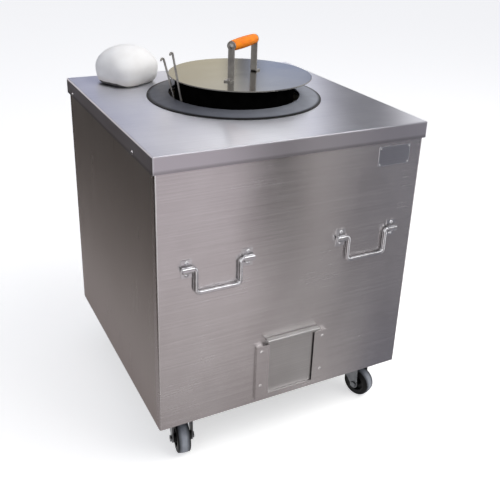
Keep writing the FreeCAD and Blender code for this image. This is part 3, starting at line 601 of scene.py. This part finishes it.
@dataclass
class Casing(SubAssembly):
    """Folded sheet casing with the frame inside it and a bare label plate on its front."""

    plate_width: float = 87.0 * MM
    plate_height: float = 47.5 * MM
    plate_thickness: float = 0.9 * MM
    plate_corner: float = 3.0 * MM
    plate_corner_steps: int = 6
    plate_edge: float = 0.35 * MM
    plate_rim: tuple[float, float] = (1.8 * MM, 2.2 * MM)  # insets of the rim's inner edge and of the field
    plate_sunk: float = 0.45 * MM
    plate_gap: float = 0.05 * MM
    plate_x: float = 247.5 * MM
    plate_drop: float = 72.0 * MM
    plate_rivet_inset: float = 5.0 * MM
    plate_rivet_radius: float = 2.3 * MM
    plate_rivet_height: float = 1.3 * MM
    plate_rivet_sunk: float = 0.5 * MM
    plate_rivet_rings: int = 5
    plate_rivet_sides: int = 20

    finishes = {
        "top_cap": CAP_SHEET, "front_panel": FRONT_SHEET, "back_panel": FRONT_SHEET, "left_panel": SIDE_SHEET,
        "right_panel": SIDE_SHEET, "base_frame": FRAME_PAINT, "base_plate": FRAME_PAINT,
        "corner_posts": FRAME_PAINT, "top_frame": FRAME_PAINT, "insulation": WOOL, "cap_rivets": ZINC,
    }

    def plate_place(self, x: float, out: float, z: float) -> Vector:
        """Point on the label plate.

        Args:
            x: Distance to the right of its middle.
            out: Distance out of the front panel.
            z: Distance above its middle.

        Returns:
            The point in the part's frame.
        """
        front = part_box("front_panel")[0][1]
        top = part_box("top_cap")[1][2]
        return Vector((self.plate_x + x, front - out, top - self.plate_drop + z))

    def plate_ring(self, inset: float, out: float) -> list[Vector]:
        """Rounded rectangle of the plate's outline, drawn in by an inset.

        Args:
            inset: Distance inside the plate's edge.
            out: Distance out of the front panel.

        Returns:
            Points of the ring.
        """
        steps = self.plate_corner_steps
        reach = self.plate_corner - inset
        points = []
        for turn, (sx, sz) in enumerate(((1, 1), (-1, 1), (-1, -1), (1, -1))):
            for i in range(steps + 1):
                angle = math.radians(90 * turn + 90 * i / steps)
                x = sx * (self.plate_width / 2 - self.plate_corner) + reach * math.cos(angle)
                z = sz * (self.plate_height / 2 - self.plate_corner) + reach * math.sin(angle)
                points.append(self.plate_place(x, out, z))
        return points

    def plate_rivet(self, x: float, z: float) -> list[list[Vector]]:
        """Rings of a small dome rivet in the plate's corner.

        Args:
            x: Distance to the right of the plate's middle.
            z: Distance above the plate's middle.

        Returns:
            Rings from the rivet's foot to its crown.
        """
        turns = [math.tau * i / self.plate_rivet_sides for i in range(self.plate_rivet_sides)]
        rings = []
        for step in range(self.plate_rivet_rings):
            angle = math.radians(90 * step / self.plate_rivet_rings)
            radius = self.plate_rivet_radius * math.cos(angle)
            out = self.plate_thickness - self.plate_rivet_sunk + self.plate_rivet_height * math.sin(angle)
            rings.append([self.plate_place(x + radius * math.cos(turn), out, z + radius * math.sin(turn))
                          for turn in turns])
        return rings

    def build(self) -> list[bpy.types.Object]:
        """Label plate with a raised rim, and its four rivets.

        Returns:
            The plate and the rivets.
        """
        plate = bmesh.new()
        top = self.plate_thickness
        steps = ((0.0, self.plate_gap), (0.0, top - self.plate_edge), (self.plate_edge, top),
                 (self.plate_rim[0], top), (self.plate_rim[1], top - self.plate_sunk))
        rings = [self.plate_ring(inset, out) for inset, out in steps]
        loft(plate, rings)
        plate_piece = mesh_piece("label_plate", plate, PLATE_SHEET, smooth=False)
        # The rim takes the brighter zinc finish as a painted highlight along its raised edge.
        plate_piece.data.materials.append(ZINC.material())
        highlight_rim_faces = (len(rings) - 2) * len(rings[0])
        for face in plate_piece.data.polygons[:highlight_rim_faces]:
            face.material_index = 1
        rivets = bmesh.new()
        for sx in (-1, 1):
            for sz in (-1, 1):
                loft(rivets, self.plate_rivet(sx * (self.plate_width / 2 - self.plate_rivet_inset),
                                              sz * (self.plate_height / 2 - self.plate_rivet_inset)))
        rivet_piece = mesh_piece("label_plate_rivets", rivets, ZINC)
        for piece, slot in ((plate_piece, "stainless_sheet"), (rivet_piece, "zinc_steel")):
            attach(piece, "casing")
        return [plate_piece, rivet_piece]


class Fireplace(SubAssembly):
    """Clay pot, grate, ash tunnel and the iron round the mouth."""

    finishes = {"clay_pot": CLAY, "fire_grate": GRATE_IRON, "ash_tunnel": FRAME_PAINT,
                "mouth_ring": RING_IRON, "mouth_band": BAND_IRON}


class AshDoor(SubAssembly):
    """Sliding door in its riveted guides."""

    finishes = {"ash_door": DOOR_SHEET, "door_guides": FRONT_SHEET, "door_rivets": FRONT_SHEET}


class BailHandles(SubAssembly):
    """Two hanging bails in their saddles."""

    finishes = {"left_bail": ZINC, "right_bail": ZINC, "left_saddle_outer": ZINC, "left_saddle_inner": ZINC,
                "right_saddle_inner": ZINC, "right_saddle_outer": ZINC, "handle_rivets": ZINC}


class Lid(SubAssembly):
    """Round lid with its handle."""

    finishes = {"lid_disc": LID_SHEET, "lid_leg_near": FLAT_BAR, "lid_leg_far": FLAT_BAR,
                "lid_grip": ORANGE_GRIP, "lid_grip_rod": FLAT_BAR, "lid_rivets": FLAT_BAR}


class Skewers(SubAssembly):
    """Two short rods in the groove of the mouth."""

    finishes = {"skewer_back": SKEWER_ROD, "skewer_front": SKEWER_ROD}


class Casters(SubAssembly):
    """Four swivel casters."""

    finishes = {"king_pins": ZINC, "caster_bolts": ZINC}

    def dress(self) -> int:
        """Give each caster's pieces their finishes.

        Returns:
            How many nodes were dressed.
        """
        kinds = {"plate": SHADED_CASTER_ZINC, "fork": SHADED_CASTER_ZINC, "axle": SHADED_CASTER_ZINC, "hub": HUB_PLASTIC}
        for corner in CORNERS:
            for kind, finish in (kinds | {"tyre": TYRES["wheel_" + corner]}).items():
                dress_node(f"caster_{kind}_{corner}", finish)
        return super().dress() + (len(kinds) + 1) * len(CORNERS)


@dataclass
class BreadPad(SubAssembly):
    """Stuffed pad in a cloth cover that is drawn together underneath."""

    length: float = 146.0 * MM
    depth: float = 140.0 * MM
    turn_deg: float = 26.0
    widest: float = 46.0 * MM     # height of the belly
    crown_room: float = 2.5 * MM  # left under the top of its solid
    crown_deg: float = 89.5       # the last ring stops short of a point
    crown_power: float = 0.92     # below 1 for fuller shoulders
    base_length: float = 100.0 * MM
    base_depth: float = 88.0 * MM
    base_shift: tuple[float, float] = (5.0 * MM, 4.0 * MM)
    base_turn_deg: float = 6.0
    corner: tuple[float, float, float] = (9.0, 2.8, 2.0)  # squareness of base, belly and crown
    sides: int = 72
    lower_rings: int = 12
    upper_rings: int = 18
    voxel: float = 4.0 * MM

    pinned: float = 4.0 * MM      # height of the foot that stays in place
    quality: int = 6
    pressure: float = 4.0
    tension: float = 12.0
    bending: float = 0.4
    frames: int = 20
    swell_cap: float = 5.0 * MM

    gathers: tuple[int, int] = (17, 31)                # coarse and fine ones round the pad
    gather_share: float = 0.6                          # fine ones against coarse ones
    gather_wander: tuple[float, float] = (2.5, 28.0)   # radians, and lumps of noise in a metre
    gather_height: tuple[float, float] = (0.06, 0.55)  # shares of the height: full from here, gone there
    gather_depth: float = 0.55 * MM
    dents: tuple[tuple[float, float], ...] = ((22.0, 1.7 * MM), (60.0, 0.5 * MM))  # lumps in a metre, depth
    dent_height: float = 0.1                           # share of the height from which they are full

    def ring(self, length: float, depth: float, corner: float) -> list[Vector]:
        """Flat ring with rounded corners.

        Args:
            length: Its size along the pad.
            depth: Its size across the pad.
            corner: How square it is; 2 is round.

        Returns:
            Points about the pad's middle.
        """
        points = []
        for i in range(self.sides):
            a = math.tau * i / self.sides
            size = (abs(math.cos(a)) ** corner + abs(math.sin(a)) ** corner) ** (-1 / corner) / 2
            points.append(Vector((length * size * math.cos(a), depth * size * math.sin(a), 0.0)))
        return points

    def rings(self) -> list[list[Vector]]:
        """Rings from the small flat base out to the belly and up to the crown, in the space of its solid.

        Returns:
            Rings in the part's frame.
        """
        low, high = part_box("naan_pad")
        place = Matrix.Translation(((low[0] + high[0]) / 2, (low[1] + high[1]) / 2, low[2]))
        place = place @ Matrix.Rotation(math.radians(self.turn_deg), 4, "Z")
        crown = high[2] - low[2] - self.crown_room - self.widest
        at_base, at_belly, at_crown = self.corner
        shift = Vector((*self.base_shift, 0.0))
        turn = Matrix.Rotation(math.radians(self.base_turn_deg), 4, "Z")
        base = [turn @ (point + shift) for point in self.ring(self.base_length, self.base_depth, at_base)]
        belly = self.ring(self.length, self.depth, at_belly)
        rings = []
        for step in range(self.lower_rings):
            angle = math.radians(90 * step / self.lower_rings)
            rise = Vector((0.0, 0.0, self.widest * (1 - math.cos(angle))))
            rings.append([start.lerp(end, math.sin(angle)) + rise for start, end in zip(base, belly)])
        for step in range(self.upper_rings):
            angle = math.radians(self.crown_deg * step / (self.upper_rings - 1))
            rise = Vector((0.0, 0.0, self.widest + crown * math.sin(angle)))
            reach = math.cos(angle) ** self.crown_power
            corner = at_belly + (at_crown - at_belly) * math.sin(angle)
            level = self.ring(self.length * reach, self.depth * reach, corner)
            rings.append([point + rise for point in level])
        return [[place @ point for point in ring] for ring in rings]

    def simulate(self, pad: bpy.types.Object) -> None:
        """Swell the cover with a short cloth simulation and apply the result.

        Args:
            pad: The pad, which keeps its flat base.
        """
        rest = [vertex.co.copy() for vertex in pad.data.vertices]
        low = min(point.z for point in rest)
        group = pad.vertex_groups.new(name="base")
        group.add([i for i, point in enumerate(rest) if point.z < low + self.pinned], 1.0, "REPLACE")
        cloth = pad.modifiers.new("cover", "CLOTH")
        cloth.settings.quality = self.quality
        cloth.settings.use_pressure = True
        cloth.settings.uniform_pressure_force = self.pressure
        cloth.settings.effector_weights.gravity = 0.0
        cloth.settings.vertex_group_mass = "base"
        cloth.settings.tension_stiffness = self.tension
        cloth.settings.bending_stiffness = self.bending
        scene = bpy.context.scene
        for step in range(1, self.frames + 1):
            scene.frame_set(step)
        shaped = pad.evaluated_get(bpy.context.evaluated_depsgraph_get()).data
        moved = [vertex.co.copy() for vertex in shaped.vertices]
        pad.modifiers.remove(cloth)
        scene.frame_set(1)
        for vertex, start, end in zip(pad.data.vertices, rest, moved):
            shift = end - start
            if shift.length > self.swell_cap:
                shift = shift.normalized() * self.swell_cap
            vertex.co = start + shift
            vertex.co.z = max(vertex.co.z, low)

    def crease(self, pad: bpy.types.Object) -> None:
        """Press gathers into the lower part of the cover, where it is drawn under, and dents all over.

        Args:
            pad: The swollen pad.
        """
        low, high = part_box("naan_pad")
        middle = Vector(((low[0] + high[0]) / 2, (low[1] + high[1]) / 2, 0.0))
        many, more = self.gathers
        wander, wander_scale = self.gather_wander
        fade_start, fade_end = self.gather_height
        for vertex, normal in zip(pad.data.vertices, [v.normal.copy() for v in pad.data.vertices]):
            height = (vertex.co.z - low[2]) / (high[2] - low[2])
            angle = math.atan2(vertex.co.y - middle.y, vertex.co.x - middle.x)
            lower = max(0.0, 1.0 - height / fade_end) * min(1.0, height / fade_start)
            gather = math.sin(angle * many + wander * noise.noise(vertex.co * wander_scale))
            gather += self.gather_share * math.sin(angle * more)
            dent = sum(noise.noise(vertex.co * scale) * depth for scale, depth in self.dents)
            raised = self.gather_depth * lower * gather + dent * min(1.0, height / self.dent_height)
            vertex.co += normal * raised
            vertex.co.z = max(vertex.co.z, low[2])

    def build(self) -> list[bpy.types.Object]:
        """Pad that takes the place of its plain solid.

        Returns:
            The pad.
        """
        mesh = bmesh.new()
        loft(mesh, self.rings())
        pad = mesh_piece("bread_pad", mesh, COTTON)
        remesh = pad.modifiers.new("even", "REMESH")
        remesh.mode = "VOXEL"
        remesh.voxel_size = self.voxel
        even = bpy.data.meshes.new_from_object(pad.evaluated_get(bpy.context.evaluated_depsgraph_get()))
        pad.modifiers.remove(remesh)
        pad.data = even
        self.simulate(pad)
        self.crease(pad)
        for face in pad.data.polygons:
            face.use_smooth = True
        smooth = pad.modifiers.new("soften", "SUBSURF")
        smooth.levels = smooth.render_levels = 1
        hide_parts("naan_pad")
        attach(pad, "naan_pad")
        return [pad]


# Paints of the studio's cards, by what they stand for in a room.
PAINTS = {
    "white": "FFFFFF", "pale": "D8D6DA", "cream": "D2CAB4", "sky": "A1ADCC", "mist": "A8AABA",
    "haze": "9295AA", "blind": "787A92", "jamb": "7A787C", "beam": "5C5E64", "post": "505058",
    "recess": "343538", "corner": "2E2B2B", "wall": "D0C8CE", "plaster": "C9C3C3", "bench": "B0ACAC",
    "tile": "A6A1A1", "slab": "9E9898", "step": "8C8A8E", "kerb": "847878", "locker": "74747E",
    "shelf": "6A6C74", "soil": "5E544E", "dark": "221D1B", "doorway": "141418",
}


@dataclass(frozen=True)
class Row:
    """Straight line across a card, with the names of its paints in order."""

    start: Point
    end: Point
    paints: str


@dataclass(frozen=True)
class Card:
    """Studio card that only reflections see, painted in soft bands.

    A row has a paint at every stop, a share of its length, and the card is the skin over its rows.
    """

    name: str
    stops: tuple[float, ...]
    rows: list[Row]
    strength: float = 1.0

    def build(self) -> bpy.types.Object:
        """Make the card.

        Returns:
            The card.
        """
        count = len(self.stops)
        points, shades, faces = [], [], []
        for row in self.rows:
            points += [Vector(row.start).lerp(Vector(row.end), stop) for stop in self.stops]
            shades += [linear(PAINTS[paint]) for paint in row.paints.split()]
        for first in range(0, count * (len(self.rows) - 1), count):
            for i in range(first, first + count - 1):
                faces.append((i, i + 1, i + 1 + count, i + count))
        data = bpy.data.meshes.new(self.name)
        data.from_pydata(points, [], faces)
        layer = data.color_attributes.new("shade", "FLOAT_COLOR", "POINT")
        for place, shade in zip(layer.data, shades, strict=True):
            place.color = shade
        material = bpy.data.materials.new(self.name)
        material.use_nodes = True
        tree = material.node_tree
        tree.nodes.clear()
        shade = add_node(tree, "Attribute", {}, attribute_name="shade").outputs["Color"]
        glow = add_node(tree, "Emission", {"Color": shade, "Strength": self.strength}).outputs["Emission"]
        add_node(tree, "OutputMaterial", {"Surface": glow})
        data.materials.append(material)
        card = bpy.data.objects.new(self.name, data)
        bpy.context.collection.objects.link(card)
        card.visible_camera = False
        card.visible_diffuse = False
        card.visible_shadow = False
        return card


@dataclass
class Studio:
    """Pale floor, soft light, cards for the sheet metal to mirror, and the camera."""

    eye: Point = (-0.7417, -1.5205, 1.2245)
    heading_deg: float = 28.58
    drop_deg: float = 23.74
    roll_deg: float = 2.42
    focal_px: float = 707.0
    frame_px: float = 500.0
    centre_px: tuple[float, float] = (261.2, 208.4)
    sensor_mm: float = 36.0
    background: str = "FFFFFF"
    ambient: float = 0.45
    ambient_colour: str = "F4F6FF"
    floor_size: float = 60.0
    floor_glow: float = 0.55
    floor_colour: str = "E8E8E8"

    card_lift: float = 4.0 * MM
    room_front: float = -6.0
    room_left: float = -6.0
    room_right: float = 6.0
    room_back: float = 4.0
    room_height: float = 4.5
    front_sight: tuple[float, float] = (0.1606, 1.081)  # slopes of the lines at the front card's ends

    def camera(self) -> None:
        """Set up the camera at the photograph's place."""
        data = bpy.data.cameras.new("camera")
        data.sensor_width = self.sensor_mm
        data.lens = self.focal_px / self.frame_px * self.sensor_mm
        data.shift_x = 0.5 - self.centre_px[0] / self.frame_px
        data.shift_y = self.centre_px[1] / self.frame_px - 0.5
        camera = bpy.data.objects.new("camera", data)
        camera.matrix_world = (Matrix.Translation(self.eye)
                               @ Matrix.Rotation(math.radians(-self.heading_deg), 4, "Z")
                               @ Matrix.Rotation(math.radians(90 - self.drop_deg), 4, "X")
                               @ Matrix.Rotation(math.radians(self.roll_deg), 4, "Z"))
        bpy.context.collection.objects.link(camera)
        bpy.context.scene.camera = camera

    def seen(self, tree: bpy.types.NodeTree) -> Socket:
        """Tell rays that show the background, from the camera, a gloss or a glass, from those that light.

        Args:
            tree: Node tree of a material or of the world.

        Returns:
            Value of 1 for rays that show it and of 0 for others.
        """
        rays = add_node(tree, "LightPath", {}).outputs
        value = rays["Is Camera Ray"]
        for kind in ("Is Glossy Ray", "Is Transmission Ray"):
            value = add_node(tree, "Math", {0: value, 1: rays[kind]}, operation="MAXIMUM").outputs["Value"]
        return value

    def world(self) -> None:
        """White surroundings that light the object at a plain level."""
        world = bpy.data.worlds.new("studio")
        world.use_nodes = True
        tree = world.node_tree
        tree.nodes.clear()
        light = add_node(tree, "Background", {"Color": linear(self.ambient_colour), "Strength": self.ambient})
        shown = add_node(tree, "Background", {"Color": linear(self.background), "Strength": 1.0})
        mix = add_node(tree, "MixShader", {0: self.seen(tree), 1: light.outputs["Background"],
                                           2: shown.outputs["Background"]})
        add_node(tree, "OutputWorld", {"Surface": mix.outputs["Shader"]})
        bpy.context.scene.world = world

    def floor(self) -> None:
        """Pale floor that keeps a soft shadow."""
        half = self.floor_size / 2
        data = bpy.data.meshes.new("floor")
        corners = [(-half, -half, 0), (half, -half, 0), (half, half, 0), (-half, half, 0)]
        data.from_pydata(corners, [], [(0, 1, 2, 3)])
        material = bpy.data.materials.new("pale_floor")
        material.use_nodes = True
        tree = material.node_tree
        tree.nodes.clear()
        matt = add_node(tree, "BsdfDiffuse", {"Color": linear(self.floor_colour)})
        glow = add_node(tree, "Emission", {"Color": linear(self.background), "Strength": self.floor_glow})
        both = add_node(tree, "AddShader", {0: matt.outputs["BSDF"], 1: glow.outputs["Emission"]})
        mix = add_node(tree, "MixShader", {0: self.seen(tree), 1: matt.outputs["BSDF"],
                                           2: both.outputs["Shader"]})
        add_node(tree, "OutputMaterial", {"Surface": mix.outputs["Shader"]})
        data.materials.append(material)
        floor = bpy.data.objects.new("floor", data)
        bpy.context.collection.objects.link(floor)

    def lamp(self, name: str, place: Point, aim: Point, size: float, watts: float, colour: str) -> None:
        """Hang a square soft box that faces a point.

        Args:
            name: Name of the lamp.
            place: Where it hangs.
            aim: Point that it faces.
            size: Length of its side.
            watts: Its power.
            colour: Hex colour of its light.
        """
        data = bpy.data.lights.new(name, "AREA")
        data.size = size
        data.energy = watts
        data.color = linear(colour)[:3]
        lamp = bpy.data.objects.new(name, data)
        turn = (Vector(aim) - Vector(place)).to_track_quat("-Z", "Y")
        lamp.matrix_world = Matrix.Translation(place) @ turn.to_matrix().to_4x4()
        bpy.context.collection.objects.link(lamp)
        lamp.visible_glossy = False

    def front_card(self) -> Card:
        """Floor and wall before the oven, as its front panel mirrors them.

        Its rows end on lines of sight from the camera's mirror image, so that a band stays in one place
        across the panel.

        Returns:
            The card.
        """
        mirror_y = 2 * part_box("front_panel")[0][1] - self.eye[1]
        stops = (0.0, 0.2, 0.30, 0.372, 0.396, 0.484, 0.516, 0.573, 0.62, 0.727, 1.0)
        far = "wall wall wall wall doorway doorway plaster bench step locker locker"
        mid = "plaster plaster plaster plaster plaster bench bench bench step step step"
        near = "slab slab tile tile slab tile bench bench bench locker shelf"
        top = " ".join(["soil"] * len(stops))
        low, wall_y = self.card_lift, self.room_front
        rows = []
        for y, z, paints in ((-0.335, low, near), (-0.40, low, near), (-0.92, low, mid), (-1.95, low, far),
                             (wall_y, low, far), (wall_y, 0.8, far), (wall_y, self.room_height, top)):
            left, right = [self.eye[0] + slope * (mirror_y - y) for slope in self.front_sight]
            rows.append(Row((left, y, z), (right, y, z), paints))
        return Card("card_front", stops, rows)

    def left_card(self) -> Card:
        """Floor and dark wall on the left, as the left panel mirrors them.

        Returns:
            The card.
        """
        low, wall_x, end_y = self.card_lift, self.room_left, 12.0
        rows = [Row((x, y, z), (x, end_y, z), paints) for x, y, z, paints in (
            (-0.335, -0.335, low, "kerb kerb kerb"), (-0.46, -0.335, low, "slab slab slab"),
            (-0.60, -1.6, low, "slab slab slab"), (-0.80, -1.6, low, "slab soil soil"),
            (-1.20, -1.6, low, "slab dark dark"), (wall_x, -1.6, low, "slab dark dark"),
            (wall_x, -1.6, 2.0, "slab dark dark"))]
        return Card("card_left", (0.0, 0.1, 1.0), rows)

    def back_card(self) -> Card:
        """Wall behind the oven with its windows, and the ceiling, as the lid and the cap mirror them.

        Returns:
            The card.
        """
        stops = (0.0, 0.37, 0.45, 0.48, 0.515, 0.55, 0.59, 0.62, 0.637, 0.66, 0.70, 0.72, 0.735, 0.765, 0.785,
                 0.805, 1.0)
        eye_level = ("plaster plaster corner blind haze cream cream cream post sky sky haze beam beam jamb "
                     "pale plaster")
        overhead = ("plaster plaster corner blind haze mist pale white white white pale jamb recess recess "
                    "jamb white pale")
        ceiling = " ".join(["step"] * len(stops))
        wall_y, high = self.room_back, self.room_height
        rows = [Row((left, y, z), (right, y, z), paints) for left, right, y, z, paints in (
            (-5.0, 6.0, wall_y, 0.0, eye_level), (-5.0, 6.0, wall_y, 1.95, eye_level),
            (-5.0, 6.0, wall_y, 2.25, overhead), (-6.5, 7.8, wall_y, high, overhead),
            (-4.5, 5.4, 1.0, high, ceiling), (-5.5, 6.6, -3.0, high, ceiling))]
        return Card("card_back", stops, rows, strength=1.5)

    def strip_card(self) -> Card:
        """Bright strip over the front, which gives the rounded pieces a highlight."""
        rows = [Row((0.2, y, z), (2.2, y, z), "white white") for y, z in ((-2.3, 3.0), (-1.7, 3.3))]
        return Card("card_strip", (0.0, 1.0), rows, strength=4.5)

    def side_card(self) -> Card:
        """Floor on the right and at the back, as the panels there mirror it.

        Returns:
            The card.
        """
        low, wall_x = self.card_lift, self.room_right
        rows = [Row((x, y, low), (wall_x, y, low), paints) for x, y, paints in (
            (0.36, -0.38, "slab step"), (0.36, 0.36, "slab step"),
            (-0.34, 0.37, "tile step"), (-0.34, 3.95, "slab step"))]
        return Card("card_side", (0.0, 1.0), rows)

    def build(self) -> None:
        """Set the whole studio up."""
        bpy.context.scene.view_settings.view_transform = "Standard"
        self.camera()
        self.world()
        self.floor()
        self.lamp("soft_box_top", place=(1.3, -1.3, 2.8), aim=(0.0, 0.0, 0.6), size=2.6, watts=69.0,
                  colour="FFFDF8")
        self.lamp("soft_box_left", place=(-2.6, -1.6, 2.2), aim=(0.0, 0.0, 0.5), size=1.6, watts=8.0,
                  colour="F4F7FF")
        for card in (self.front_card, self.left_card, self.back_card, self.strip_card, self.side_card):
            card().build()


def main() -> None:
    """Build and dress every sub-assembly, then set up the studio."""
    logging.basicConfig(level=logging.INFO, format="%(name)s: %(message)s")
    for group in (Casing(), Fireplace(), AshDoor(), BailHandles(), Lid(), Skewers(), Casters(), BreadPad()):
        pieces = group.build()
        LOG.info("%s: %d nodes dressed, pieces made: %s", type(group).__name__, group.dress(),
                 ", ".join(piece.name for piece in pieces) or "none")
    Studio().build()


if __name__ == "__main__":
    main()
